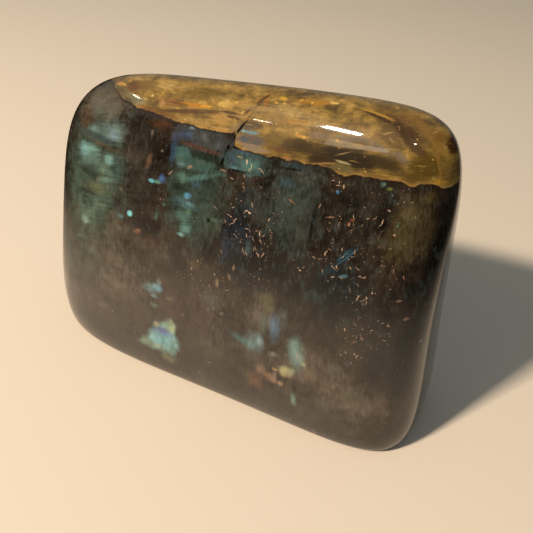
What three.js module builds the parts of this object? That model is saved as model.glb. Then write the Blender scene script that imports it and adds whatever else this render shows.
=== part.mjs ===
// A free-standing piece of polished labradorite, in millimetres, +Z up.
//
// It is one stone: a thick, pillow-shaped slab ground and polished on every side, then sawn flat
// underneath so that it stands by itself, with no separate stand. The broad front face looks along -Y,
// +X runs to the right of someone facing it, and the origin is the middle of the stone's footprint on
// the surface that it stands on.
//
// The surface is a superellipsoid whose halves differ: fill() is 0 at the stone's heart and 1 on its
// skin. A box of evenly spaced vertices, about the stone's own size, is drawn onto that skin, so its
// six grids become the front, back, two ends, top and sawn base with no seams or poles.
import * as THREE from "three";
import { mergeVertices } from "three/addons/utils/BufferGeometryUtils.js";

// Overall size, measured from the stone's own upright axis.
const LEFT = 43.9; // axis to the left end, at the widest level
const RIGHT = 41.8; // axis to the right end, at the widest level
const FRONT = 13.9; // axis to the front face, at the widest level
const BACK = 14.6; // axis to the back face, at the widest level
const HEIGHT = 61.2; // base to the top ridge, on the axis
const WIDEST = 27.3; // level at which the stone is widest
// From the widest level down to where the pebble would have closed, before the saw.
const SAWN_OFF_LEFT = 35;
const SAWN_OFF_RIGHT = 32;

// How the sides depart from upright, in millimetres for each millimetre above the widest level.
const LEFT_LEANS_IN = 0.08;
const RIGHT_LEANS_IN = 0.083;
const FACES_LEAN_BACK = 0.103;
const FACES_DRAW_TOGETHER = 0.106;
const RIDGE_CLIMBS = 0.075; // rise of the top ridge for each millimetre to the right

// Fullness of the edges: 2 is an ellipse, and larger is squarer.
const TOP_LEFT = 4.6;
const TOP_RIGHT = 7.9;
const BOTTOM_LEFT = 4.9;
const BOTTOM_RIGHT = 8.2;
const FACE_TO_LEFT = 3.15; // from the broad faces round to each end
const FACE_TO_RIGHT = 3.8;
const FACE_TO_TOP = 2.4; // and over the top
const END_TO_END = 30; // half the width over which the fullness goes from the left end's to the right's

// Hand polishing leaves shallow rolls in the skin.
const ROLL_HEIGHT = 0.22;
const ROLL_ACROSS = 8.5; // length of a roll divided by 2 pi, along X
const ROLL_UP = 6.5; // and along Z

const EASED_EDGE = 0.8; // bevel taken off the sawn edge

// Grid of the box that is drawn onto the skin.
const COLUMNS = 36;
const ROWS = 25;
const LAYERS = 12;

const HALVINGS = 40; // steps of the search for the skin along a ray

const { lerp, smoothstep } = THREE.MathUtils;

// Shallow rolls, as a share of the stone's half thickness.
function rolls(x, z) {
  const across = Math.sin(x / ROLL_ACROSS + 0.6) * Math.cos(z / ROLL_UP);
  const slanting = Math.sin((x + 2 * z) / (2 * ROLL_UP));
  return (ROLL_HEIGHT * (across + slanting)) / (FRONT + BACK);
}

// Fullness of the edge between the broad faces and the sides.
function fullness(x, above) {
  const round = lerp(FACE_TO_LEFT, FACE_TO_RIGHT, smoothstep(x, -END_TO_END, END_TO_END));
  return lerp(round, FACE_TO_TOP, smoothstep(above, 0, HEIGHT - WIDEST));
}

// 0 at the heart of the stone, 1 on its skin.
function fill(x, y, z) {
  const above = z - WIDEST;
  const halfWidth = x < 0 ? LEFT - LEFT_LEANS_IN * above : RIGHT - RIGHT_LEANS_IN * above;
  const ridge = HEIGHT + RIDGE_CLIMBS * x;
  const sawnOff = lerp(SAWN_OFF_LEFT, SAWN_OFF_RIGHT, smoothstep(x, -END_TO_END, END_TO_END));
  const reach = above > 0 ? ridge - WIDEST : sawnOff;
  const depth = y - FACES_LEAN_BACK * above;
  const halfDepth = (depth < 0 ? FRONT : BACK) - FACES_DRAW_TOGETHER * above;
  const upper = x < 0 ? TOP_LEFT : TOP_RIGHT;
  const lower = x < 0 ? BOTTOM_LEFT : BOTTOM_RIGHT;
  const corner = above > 0 ? upper : lower;
  const outline = Math.abs(x / halfWidth) ** corner + Math.abs(above / reach) ** corner;
  const rim = fullness(x, above);
  const through = Math.abs(depth / halfDepth) ** rim;
  return outline ** (rim / corner) + through + rolls(x, z);
}

// How many times its own length the step from origin must grow to reach the skin.
function stretchToSkin(origin, step) {
  const point = new THREE.Vector3();
  let inside = 0;
  let outside = 2;
  for (let i = 0; i < HALVINGS; i++) {
    const middle = (inside + outside) / 2;
    point.copy(origin).addScaledVector(step, middle);
    if (fill(point.x, point.y, point.z) < 1) inside = middle;
    else outside = middle;
  }
  return inside;
}

// The level of a row of the grid: the first row above the base is the top of the eased edge.
function levelOf(row) {
  if (row === 0) return 0;
  return lerp(EASED_EDGE, HEIGHT, (row - 1) / (ROWS - 1));
}

// A vertex of the box, with each coordinate from -1 to 1, drawn onto the skin.
function onSkin(vertex) {
  const row = Math.round(((vertex.z + 1) / 2) * ROWS);
  const level = levelOf(row);
  // Rays run level from the axis below the widest level, and fan out from one point above it.
  const origin = new THREE.Vector3(0, 0, Math.min(level, WIDEST));
  const step = new THREE.Vector3(
    (vertex.x * (LEFT + RIGHT)) / 2,
    (vertex.y * (FRONT + BACK)) / 2,
    level - origin.z,
  );
  if (row > 0) return origin.addScaledVector(step, stretchToSkin(origin, step));
  // The sawn base: its rim is the skin drawn in by the eased edge, and the rest keeps its share of that.
  const share = Math.max(Math.abs(vertex.x), Math.abs(vertex.y));
  if (share === 0) return origin;
  const toRim = step.clone().divideScalar(share);
  const reach = stretchToSkin(origin, toRim) - EASED_EDGE / toRim.length();
  return origin.addScaledVector(toRim, reach * share);
}

function stoneGeometry() {
  const box = new THREE.BoxGeometry(2, 2, 2, COLUMNS, LAYERS, ROWS);
  box.deleteAttribute("normal");
  box.deleteAttribute("uv");
  const geometry = mergeVertices(box);
  const position = geometry.getAttribute("position");
  const vertex = new THREE.Vector3();
  for (let i = 0; i < position.count; i++) {
    vertex.fromBufferAttribute(position, i);
    const placed = onSkin(vertex);
    position.setXYZ(i, placed.x, placed.y, placed.z);
  }
  // The origin of the part is the middle of its footprint, and not the axis it was drawn round.
  geometry.computeBoundingBox();
  const middle = geometry.boundingBox.getCenter(new THREE.Vector3());
  geometry.translate(-middle.x, -middle.y, 0);
  geometry.computeVertexNormals();
  return geometry;
}

// Dark feldspar under a high polish.
const polishedLabradorite = new THREE.MeshStandardMaterial({
  name: "polished labradorite",
  color: 0x4a4237,
  roughness: 0.12,
  metalness: 0,
});

const stone = new THREE.Mesh(stoneGeometry(), polishedLabradorite);
stone.name = "labradorite_stone";

const labradorite = new THREE.Group();
labradorite.name = "free_standing_labradorite";
labradorite.add(stone);

export default labradorite;
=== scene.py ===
"""Looks of a free-standing piece of polished labradorite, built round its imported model. Blender 4.5."""

from math import radians

import bpy
from mathutils import Matrix, Vector
from mathutils.geometry import intersect_point_line


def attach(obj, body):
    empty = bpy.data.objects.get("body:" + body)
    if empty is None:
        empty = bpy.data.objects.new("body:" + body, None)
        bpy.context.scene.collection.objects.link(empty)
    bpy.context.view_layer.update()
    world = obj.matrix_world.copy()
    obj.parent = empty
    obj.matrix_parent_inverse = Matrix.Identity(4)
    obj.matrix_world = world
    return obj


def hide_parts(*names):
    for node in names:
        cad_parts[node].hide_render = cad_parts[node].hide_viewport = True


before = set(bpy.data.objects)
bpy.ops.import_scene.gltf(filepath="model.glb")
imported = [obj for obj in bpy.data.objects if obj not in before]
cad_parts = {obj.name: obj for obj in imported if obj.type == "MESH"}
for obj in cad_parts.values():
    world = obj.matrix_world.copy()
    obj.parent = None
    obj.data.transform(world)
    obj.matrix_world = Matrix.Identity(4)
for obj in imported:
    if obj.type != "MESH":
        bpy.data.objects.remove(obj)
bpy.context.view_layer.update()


# ---------------------------------------------------------------------------------------------------
# The stone. One pillow-shaped slab of labradorite feldspar, ground to shape, polished all over and
# sawn flat underneath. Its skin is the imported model's own, with its facets merged and smoothed, and
# the crack in its rind is cut into that.

MM = 0.001
SKIN_LEVELS = 2  # smoothings of the skin: each one splits a facet into four
CRACK_WIDE = 0.2 * MM
CRACK_DEEP = 0.22 * MM
# The crack's course across and up, from the top down, and the part of the front that it can be in.
CRACK_COURSE = [(3.3, 57.1), (2.8, 56.4), (2.3, 55.5), (1.9, 54.2), (1.3, 53), (0.9, 51), (0.6, 49.9)]
CRACK_PATH = [Vector((x, 0, z)) * MM for x, z in CRACK_COURSE]
CRACK_FOOT = 48 * MM
CRACK_MIDDLE = 2.5 * MM
CRACK_HALF_SPAN = 4 * MM
CRACK_CUTS = 4  # times that each edge beside the crack is cut

cad_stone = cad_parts["labradorite_stone"]
stone = bpy.data.objects.new("polished_stone", cad_stone.data.copy())
bpy.context.scene.collection.objects.link(stone)
bpy.ops.object.select_all(action="DESELECT")
stone.select_set(True)
bpy.context.view_layer.objects.active = stone
bpy.ops.object.mode_set(mode="EDIT")
bpy.ops.mesh.select_all(action="SELECT")
bpy.ops.mesh.customdata_custom_splitnormals_clear()
bpy.ops.mesh.remove_doubles(threshold=0.01 * MM)
bpy.ops.mesh.tris_convert_to_quads(face_threshold=radians(60), shape_threshold=radians(60))
bpy.ops.object.mode_set(mode="OBJECT")

skin = stone.modifiers.new("skin", "SUBSURF")
skin.levels = SKIN_LEVELS
skin.render_levels = SKIN_LEVELS
bpy.ops.object.modifier_apply(modifier="skin")
bpy.ops.object.shade_smooth()


def from_crack(place):
    """How far a place on the front is from the crack, across and up."""
    seen = Vector((place.x, 0, place.z))
    gaps = []
    for start, end in zip(CRACK_PATH, CRACK_PATH[1:]):
        near, share = intersect_point_line(seen, start, end)
        near = start if share < 0 else end if share > 1 else near
        gaps.append((seen - near).length)
    return min(gaps)


# The facets along the crack are split finer, then its bottom is pushed in.
bpy.ops.object.mode_set(mode="EDIT")
bpy.ops.mesh.select_all(action="DESELECT")
bpy.ops.object.mode_set(mode="OBJECT")
for corner in stone.data.vertices:
    beside = corner.co.y < 0 and abs(corner.co.x - CRACK_MIDDLE) < CRACK_HALF_SPAN
    in_reach = beside and corner.co.z > CRACK_FOOT
    corner.select = in_reach and from_crack(corner.co) < 3 * CRACK_WIDE
bpy.ops.object.mode_set(mode="EDIT")
bpy.ops.mesh.subdivide(number_cuts=CRACK_CUTS)
bpy.ops.object.mode_set(mode="OBJECT")
pushes = [(c.index, c.normal.copy(), from_crack(c.co)) for c in stone.data.vertices if c.select]
for index, outward, gap in pushes:
    if gap < CRACK_WIDE:
        stone.data.vertices[index].co -= outward * CRACK_DEEP * (1 - gap / CRACK_WIDE)

# Polished labradorite: dark plagioclase feldspar, lapped and buffed to a glassy skin. Layers inside it
# throw back blue and green light where they lie right, iron has stained the rind at the top golden, and
# flakes of copper-coloured ore catch the light as fine dashes.
labradorite = bpy.data.materials.new("polished_labradorite")
labradorite.use_nodes = True
tree = labradorite.node_tree
shader = tree.nodes["Principled BSDF"]


def add(kind, inputs, **settings):
    """Adds a node with its own settings, and gives its sockets their values or links."""
    made = tree.nodes.new(kind)
    for name, value in settings.items():
        setattr(made, name, value)
    for socket, value in inputs.items():
        if isinstance(value, bpy.types.NodeSocket):
            tree.links.new(value, made.inputs[socket])
        else:
            made.inputs[socket].default_value = value
    return made


def linear(code):
    """The linear colour of an sRGB hex code."""
    shares = [int(code[i : i + 2], 16) / 255 for i in (1, 3, 5)]
    return [s / 12.92 if s <= 0.04045 else ((s + 0.055) / 1.055) ** 2.4 for s in shares] + [1]


COLOUR_A, COLOUR_B, MIXED = 6, 7, 2  # a Mix node's colour sockets

# Places in the stone, in millimetres.
object_place = add("ShaderNodeTexCoord", {}).outputs["Object"]
place = add("ShaderNodeMapping", {"Vector": object_place, "Scale": (1 / MM, 1 / MM, 1 / MM)}).outputs[0]
axes = add("ShaderNodeSeparateXYZ", {"Vector": place})
across, deep, level = axes.outputs["X"], axes.outputs["Y"], axes.outputs["Z"]

# Noises, each with the size of its lumps in millimetres along X, Y and Z, how far its right end is
# raised in degrees, its detail and its roughness.
NOISES = [
    ("cloud", (6, 5, 7), 0, 4, 0.6),
    ("mottle", (1.7, 1.7, 2.4), 0, 4, 0.65),
    ("specks", (0.8, 0.8, 0.8), 0, 2, 0.6),
    ("fibres", (0.45, 0.45, 3.4), 0, 3, 0.6),
    ("layers", (4.5, 4.5, 0.5), 10, 3, 0.6),
    ("plates", (8, 5, 1.1), 6, 4, 0.62),
    ("blotches", (2.4, 2.4, 1.6), 0, 4, 0.65),
    ("gold_fibres", (0.5, 0.5, 1.8), 0, 3, 0.7),
    ("gold_layers", (3.4, 2, 0.3), 4, 3, 0.65),
]
noise = {}
for name, size, lean, detail, roughness in NOISES:
    leaning = add("ShaderNodeMapping", {"Vector": place, "Rotation": (0, radians(lean), 0)}).outputs[0]
    scaled = add("ShaderNodeMapping", {"Vector": leaning, "Scale": [1 / s for s in size]}).outputs[0]
    inputs = {"Vector": scaled, "Scale": 1, "Detail": detail, "Roughness": roughness}
    noise[name] = add("ShaderNodeTexNoise", inputs).outputs["Fac"]

FRONT = -12.0  # depth of the middle of the front's markings
THROUGH = 70.0  # half their depth, so that they run into the stone nearly unchanged
NIBBLED = 0.14  # share of an oval's half width that its ragged rim can lose or gain


def patches(colour, rows, vector, depth, rim, dim):
    """Lays ragged ovals over a colour in turn. A row gives the middle's place across and up, half the
    width and height, how far the right end is raised in degrees, softness, colour and share. The colours
    are as the lamp shows them, and dim, for red, green and blue, turns them to the stone's own."""
    for x, z, half_x, half_z, lean, soft, hue, share in rows:
        oval = add("ShaderNodeMapping", {
            "Vector": vector, "Location": (x, depth, z), "Rotation": (0, radians(-lean), 0),
            "Scale": (half_x * (1 + NIBBLED), THROUGH, half_z * (1 + NIBBLED))}, vector_type="TEXTURE")
        ball = add("ShaderNodeTexGradient", {"Vector": oval.outputs[0]}, gradient_type="SPHERICAL")
        nibbled = add("ShaderNodeMath", {0: ball.outputs["Fac"], 1: rim}, operation="ADD")
        mask = add("ShaderNodeMapRange", {
            "Value": nibbled.outputs[0], "From Min": NIBBLED, "From Max": NIBBLED + soft, "To Max": share},
            interpolation_type="SMOOTHSTEP", clamp=False)
        own = [seen * kept for seen, kept in zip(linear(hue), dim)] + [1]
        inputs = {0: mask.outputs[0], COLOUR_A: colour, COLOUR_B: own}
        colour = add("ShaderNodeMix", inputs, data_type="RGBA").outputs[MIXED]
    return colour


# Rims of the markings: the two noises that nibble at each, and how strongly. They are drawn out
# upwards by fibres, or along the layers, or are lumpy.
RIMS = [
    ("upright", "fibres", "mottle", 0.5),
    ("layered", "layers", "mottle", 0.4),
    ("cloudy", "cloud", "mottle", 0.4),
    ("plated", "plates", "gold_layers", 0.9),
    ("lumpy", "specks", "blotches", 0.5),
]
both_noises = {}
rims = {}
for name, one, other, strength in RIMS:
    both_noises[name] = add("ShaderNodeMath", {0: noise[one], 1: noise[other]}, operation="ADD").outputs[0]
    inputs = {0: both_noises[name], 1: strength, 2: -strength}
    rims[name] = add("ShaderNodeMath", inputs, operation="MULTIPLY_ADD").outputs[0]

# The body: dark, brown and cloudy.
body = add("ShaderNodeValToRGB", {"Fac": noise["cloud"]})
ramp = body.color_ramp
ramp.elements[0].position = 0.34
ramp.elements[0].color = linear("#1c1611")
ramp.elements[1].position = 0.66
ramp.elements[1].color = linear("#332b24")
body_colour = body.outputs["Color"]

# Broad parts of the front: milky below, a green and teal glow at the left, dark at the right, with painted
# shade along the right end and a partly painted reflection of the floor low at the right.
# x, z, half width, half height, lean, softness, colour, share
ZONES = [
    (-14, 1, 60, 31, -7, 0.6, "#61564a", 0.95),
    (-4, 21, 10, 9, 0, 0.7, "#564740", 0.75),
    (-22, 3, 34, 11, -7, 0.9, "#463d33", 0.7),
    (18, 2.5, 32, 9, 0, 0.9, "#1f1c19", 0.92),
    (8, 5, 20, 9, 0, 0.7, "#4f453d", 0.7),
    (28, 8, 14, 8, 0, 0.8, "#5c5046", 0.7),
    (-30, 25, 13, 12, 25, 0.7, "#535747", 0.8),
    (-37, 21, 5, 9, 15, 0.8, "#464b41", 0.7),
    (-17, 43, 7.4, 16, 0, 0.6, "#433c32", 0.95),
    (-28.5, 40, 12, 18, 0, 0.6, "#506152", 0.95),
    (-29, 54.5, 10, 4.5, 10, 0.5, "#6b604c", 0.9),
    (-3.5, 43.5, 9, 12.5, 0, 0.6, "#3f4f45", 0.95),
    (15.5, 46.5, 7.5, 12, 0, 0.7, "#465049", 0.9),
    (16.5, 35.5, 8, 6, 0, 0.7, "#29251e", 0.85),
    (6, 38.5, 4.4, 7.5, 8, 0.5, "#262f38", 0.85),
    (6.5, 45.5, 3, 4, 0, 0.6, "#252d2c", 0.8),
    (27, 47, 8.5, 11, 0, 0.7, "#3b352b", 0.92),
    (35.2, 46.5, 5, 8, 0, 0.6, "#5a4e30", 0.85),
    (25.8, 34.6, 8, 7.5, 0, 0.6, "#0f181b", 0.93),
    (36, 25, 6.4, 10, 8, 0.6, "#25211b", 0.85),
    # Painted shade: the right end, turned away from the lamp, is darkened.
    (41, 38, 2.4, 20, 3, 0.5, "#100e0b", 0.95),
    (-10, -4, 62, 26, -7, 0.45, "#423b33", 0.88),
    # Partly painted reflection: the lower right corner is lightened where it mirrors the lit floor.
    (33, 13, 9, 6, 0, 0.9, "#82715f", 0.8),
    (24, 17, 10, 7, 0, 0.9, "#766654", 0.75),
    (10.5, 34.5, 8, 6, 0, 0.6, "#100f0e", 0.92),
    (-14.5, 35.2, 4.4, 4, 0, 0.6, "#302820", 0.8),
    (9.5, 30.5, 8, 3.6, 0, 0.8, "#282320", 0.85),
    (28.5, 30.5, 11, 4, 0, 0.8, "#1d1c1b", 0.87),
    (-6, 28, 7, 6, 0, 0.8, "#28211b", 0.85),
    (9.5, 45, 5.4, 5, 0, 0.8, "#3d4745", 0.6),
    (-29.5, 35.5, 8, 7, 0, 0.8, "#5f7463", 0.75),
    (-21, 32, 6, 6, 0, 0.8, "#6b5b49", 0.6),
    (-24, 26, 9, 5, 0, 0.9, "#6c5d4b", 0.6),
    (-32, 4, 13, 9, 0, 0.9, "#2c2620", 0.85),
    (14, 25, 8, 5, 0, 0.9, "#7c7261", 0.55),
    (-22, 19.5, 7, 5, 0, 0.9, "#84735f", 0.6),
    (2, 25, 5, 4, 0, 0.9, "#55504c", 0.5),
    (34, 45, 4, 6, 0, 0.8, "#5d5133", 0.6),
    (-28, 51, 9, 5, 0, 0.8, "#5f6c60", 0.6),
    (-13, 31, 6, 4, 0, 0.9, "#6a5847", 0.6),
    (18, 43, 3, 6, 0, 0.8, "#4b4a40", 0.6),
    (37, 22, 4, 5, 0, 0.8, "#2c2722", 0.7),
]
front_colour = patches(body_colour, ZONES, place, FRONT, rims["upright"], dim=(0.62, 0.66, 0.76))

# The glow at the left, with its rust and slate partings.
LEFT_GLOW = [
    (-32, 50.6, 3.4, 2.4, 5, 0.5, "#5a4431", 0.85),
    (-27, 52, 5, 1.4, 5, 0.7, "#666355", 0.8),
    (-24, 50, 4.4, 2.8, 0, 0.7, "#829b93", 0.85),
    (-23.8, 49.6, 1.9, 1.4, 0, 0.9, "#9ab8c4", 0.6),
    (-29.3, 49.5, 2.8, 0.9, 3, 0.7, "#7b9a90", 0.85),
    (-28, 48.4, 7.5, 0.8, 0, 0.6, "#46524e", 0.85),
    (-26, 47.3, 6, 0.55, -2, 0.7, "#6b5a42", 0.7),
    (-30, 44.8, 4.8, 3.0, 6, 0.6, "#678679", 0.92),
    (-31.2, 45.3, 2.4, 2.1, 20, 0.9, "#82b4ae", 0.8),
    (-28.7, 46, 2.4, 1.3, 0, 0.9, "#82ac9b", 0.8),
    (-24, 45.2, 2.0, 1.6, 0, 0.8, "#86b3a8", 0.85),
    (-24.5, 43, 4, 1.2, -4, 0.8, "#6c8a74", 0.7),
    (-29.5, 41.3, 4.4, 1.1, -4, 0.6, "#353c2e", 0.85),
    (-24.5, 41.3, 3.5, 0.8, 14, 0.8, "#739080", 0.8),
    (-21.5, 44, 2.2, 3.4, 0, 0.8, "#557068", 0.7),
    (-27.5, 38.7, 5.8, 1.7, 6, 0.7, "#6c7050", 0.85),
    (-29.5, 37.3, 5, 0.7, 2, 0.8, "#3f422b", 0.75),
    (-28.5, 33.2, 5.4, 1.5, 42, 0.8, "#6c8670", 0.75),
    (-30.3, 31, 1.8, 1.6, 30, 0.9, "#88a994", 0.8),
    (-25.5, 35.5, 3.4, 1.1, 20, 0.8, "#6f7f68", 0.6),
    (-34, 29, 3, 5, 10, 0.9, "#485040", 0.7),
    (-31.5, 27, 2.6, 1, 20, 0.9, "#728a80", 0.6),
    (-28, 25, 2.2, 1.5, 25, 0.9, "#72806e", 0.7),
    (-26.5, 30, 3, 1.4, 35, 0.9, "#4a4738", 0.6),
    (-34.5, 36, 1.8, 5, 0, 0.9, "#5c6850", 0.6),
    (-34.6, 47, 1.2, 1.8, 0, 0.8, "#3b352a", 0.7),
    (-21, 38, 2, 2.4, 0, 0.7, "#382c26", 0.8),
]
front_colour = patches(front_colour, LEFT_GLOW, place, FRONT, rims["layered"], dim=(0.6, 0.65, 0.77))

# The slate and teal slabs under the rind, with the copper seam between them and the dark core beside.
SLABS = [
    (-12.3, 49.8, 3, 3.8, 0, 0.5, "#28211a", 0.95),
    (-13.5, 53.6, 4.4, 1, 0, 0.6, "#5a3c24", 0.85),
    (-4.4, 53.3, 7.4, 2.1, 0, 0.2, "#474e4c", 0.97),
    (-7.6, 53.2, 2.2, 1.2, 0, 0.7, "#4c6280", 0.8),
    (-9.6, 52.4, 1.6, 1.3, 0, 0.7, "#4a566e", 0.8),
    (-6.8, 54.3, 0.9, 0.35, 0, 0.7, "#8fb0c0", 0.7),
    (-3.7, 53.4, 1.4, 0.8, -20, 0.7, "#6a7370", 0.6),
    (-0.7, 52.8, 1, 0.9, 0, 0.7, "#5f6b72", 0.6),
    (-4, 51.7, 7, 0.55, -2, 0.5, "#5c463a", 0.9),
    (-3, 50.6, 5.4, 0.85, 0, 0.45, "#26332b", 0.9),
    (-7.6, 50.1, 2.5, 1.6, 0, 0.5, "#4b7470", 0.92),
    (-9.6, 50, 1.1, 3, 0, 0.6, "#34546c", 0.8),
    (-3.8, 48.9, 6.6, 1.4, 0, 0.45, "#45655c", 0.85),
    (-7.4, 48.4, 1.6, 0.8, 0, 0.8, "#6a9490", 0.7),
    (-3, 47.1, 4.8, 0.8, 20, 0.6, "#5a8a82", 0.85),
    (-6.6, 46.2, 2, 1.4, 0, 0.8, "#62907c", 0.85),
    (-3.6, 45.7, 1.6, 1, 0, 0.8, "#4f7483", 0.8),
    (-0.5, 48.6, 2.2, 1.8, 0, 0.7, "#4f7262", 0.7),
    (-7.5, 44.6, 2.8, 0.9, -8, 0.7, "#2c3a36", 0.75),
    (-1, 43.4, 2.6, 0.5, -4, 0.8, "#2c352d", 0.7),
    (-5.6, 41.8, 3.8, 1.3, -6, 0.7, "#547c80", 0.85),
    (-4.4, 42, 1.3, 0.6, -10, 0.8, "#78a6ac", 0.7),
    (-5.6, 39.6, 3, 1.5, 6, 0.7, "#5c8478", 0.88),
    (-4.4, 40.6, 0.9, 1, 0, 0.8, "#6c957c", 0.7),
    (-4.6, 37.3, 1.9, 1.9, 0, 0.6, "#6ca298", 0.95),
    (-5.8, 35.8, 1.1, 0.6, 0, 0.7, "#7cb5aa", 0.9),
    (-8, 38.3, 2, 1.5, 30, 0.8, "#5a6660", 0.6),
    (0.6, 40, 3.4, 3.8, 0, 0.7, "#4c5a4a", 0.75),
    (1.2, 40.5, 1.4, 0.6, 5, 0.8, "#62806c", 0.7),
    (-0.15, 40.2, 0.5, 0.55, 0, 0.4, "#12120d", 0.9),
    (2, 44, 3, 2, 0, 0.8, "#3d4436", 0.6),
    (5.6, 51.5, 6, 2.2, 3, 0.2, "#44605e", 0.97),
    (2.4, 51.4, 1.5, 2, 0, 0.6, "#3d525c", 0.8),
    (6, 51.2, 2.4, 1.3, 8, 0.7, "#5a8a80", 0.8),
    (4.4, 52.9, 2.2, 0.4, 0, 0.7, "#56748a", 0.8),
    (3.4, 50.2, 1.5, 0.35, 3, 0.7, "#5b8fa0", 0.8),
    (4, 52, 0.9, 0.22, 0, 0.7, "#a39a6c", 0.8),
    (3.6, 49.75, 3.8, 0.3, 4, 0.5, "#101210", 0.9),
    # Painted shade: the open crack is black inside.
    (0.75, 50.4, 0.4, 1.1, 5, 0.5, "#0d0c0a", 0.95),
    (1.25, 52.9, 0.45, 0.55, 20, 0.5, "#0d0c0a", 0.9),
    (-10.6, 49.6, 0.8, 2.6, 0, 0.7, "#0e0c0c", 0.8),
    (9.8, 51.8, 2.2, 1.6, 0, 0.6, "#2b2820", 0.85),
    (14.5, 52.8, 3.4, 0.6, 6, 0.7, "#2f4547", 0.8),
    (14, 52.3, 3.2, 0.3, 6, 0.6, "#14130f", 0.8),
    (13.6, 50.2, 2, 1.3, 0, 0.8, "#4a6470", 0.75),
    (15, 47, 3.6, 4.2, 0, 0.8, "#4b5750", 0.6),
    (18.5, 49.5, 2, 2.2, 0, 0.8, "#3f4843", 0.6),
]
front_colour = patches(front_colour, SLABS, place, FRONT, rims["layered"], dim=(0.66, 0.64, 0.72))

# Streaks and spots in the dark part at the right and in the milky foot, and painted shade on the right end.
DARK_SIDE = [
    (4.2, 35.6, 1.2, 3.4, -12, 0.7, "#24324c", 0.6),
    (8.5, 37, 0.9, 2.8, 6, 0.7, "#4a5c60", 0.7),
    (19.7, 45.4, 0.6, 4.4, 0, 0.6, "#0f0c09", 0.8),
    (31, 49.5, 2, 5.8, 3, 0.6, "#191510", 0.8),
    (24.5, 50, 3, 2, 0, 0.7, "#1d1914", 0.6),
    (34.6, 49.3, 1.6, 1.4, 0, 0.8, "#6a5c3a", 0.7),
    (37.2, 52, 1.8, 1.4, 0, 0.8, "#66582c", 0.7),
    (33.4, 47.6, 0.25, 0.8, -20, 0.7, "#56806c", 0.8),
    (26.6, 41.2, 3.2, 1, 52, 0.6, "#2c4652", 0.75),
    (27.2, 41.4, 2.2, 0.2, 54, 0.6, "#4f7c8c", 0.8),
    (26.2, 41.1, 2.2, 0.2, 50, 0.6, "#44707e", 0.8),
    (25.7, 39.6, 1.8, 0.25, 50, 0.6, "#3d6472", 0.8),
    (26.7, 37.3, 1.1, 0.45, 15, 0.7, "#4b7c84", 0.8),
    (24.3, 38, 2.4, 1.4, 40, 0.7, "#233a42", 0.7),
    (26.3, 34, 1, 1, 0, 0.6, "#0e0f0d", 0.85),
    (22.5, 32, 3.2, 2, 0, 0.8, "#30403e", 0.6),
    (17.5, 39.3, 2.6, 1.6, 0, 0.8, "#3f4a45", 0.7),
    (34, 34.5, 3, 2.6, 0, 0.8, "#2e2a22", 0.6),
    (38.5, 36.5, 2.8, 2.2, 0, 0.7, "#191c1a", 0.8),
    # Painted shade: the right end, turned away from the lamp, is darkened.
    (39.8, 24, 3, 12, 0, 0.5, "#131412", 0.92),
    (32, 13.6, 3, 2.4, 0, 0.9, "#66644c", 0.6),
    (28.6, 18.9, 2.4, 1.8, 0, 0.9, "#5e5f4c", 0.7),
    (30.6, 20.6, 1.2, 1.2, 0, 0.9, "#545058", 0.6),
    (27.3, 10.8, 2, 2.4, 0, 0.9, "#575844", 0.6),
    (33.6, 9.4, 1.5, 1.5, 0, 0.9, "#5e5d48", 0.6),
    (29, 28.8, 2.4, 1.4, 10, 0.8, "#353c34", 0.6),
    (13.4, 28.6, 3, 2, 0, 0.8, "#5b5438", 0.7),
    (-2.7, 30.5, 2, 1.5, 0, 0.8, "#5c4e33", 0.7),
    (-9, 30, 1.6, 2.4, 0, 0.8, "#4f4936", 0.6),
    (-6, 33.5, 3, 2, 0, 0.8, "#2a211b", 0.7),
    (2, 24.4, 1.2, 2.2, 0, 0.9, "#525f52", 0.6),
    (1.5, 14.8, 2.6, 1.5, 0, 0.9, "#606150", 0.6),
    (11.6, 10.7, 1.1, 1.1, 0, 0.8, "#7e6a4c", 0.7),
    (26.7, 1.6, 0.9, 1.4, 0, 0.8, "#7f6650", 0.7),
    (-15.8, 15, 3, 2, 0, 0.9, "#58453a", 0.6),
    (-21, 24.5, 2, 2.4, 0, 0.9, "#75624c", 0.6),
    (-25, 13, 3, 1.5, 20, 0.9, "#6f6350", 0.6),
    (20, 30, 5, 2.4, 0, 0.8, "#2e2720", 0.6),
    (24, 12.6, 2.6, 1.6, 0, 0.9, "#483a33", 0.7),
    (9, 12, 2.4, 2, 0, 0.9, "#4a3f38", 0.6),
    (36, 17, 4, 3, 0, 0.9, "#3c332c", 0.6),
]
front_colour = patches(front_colour, DARK_SIDE, place, FRONT, rims["upright"], dim=(0.68, 0.74, 0.86))

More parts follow.
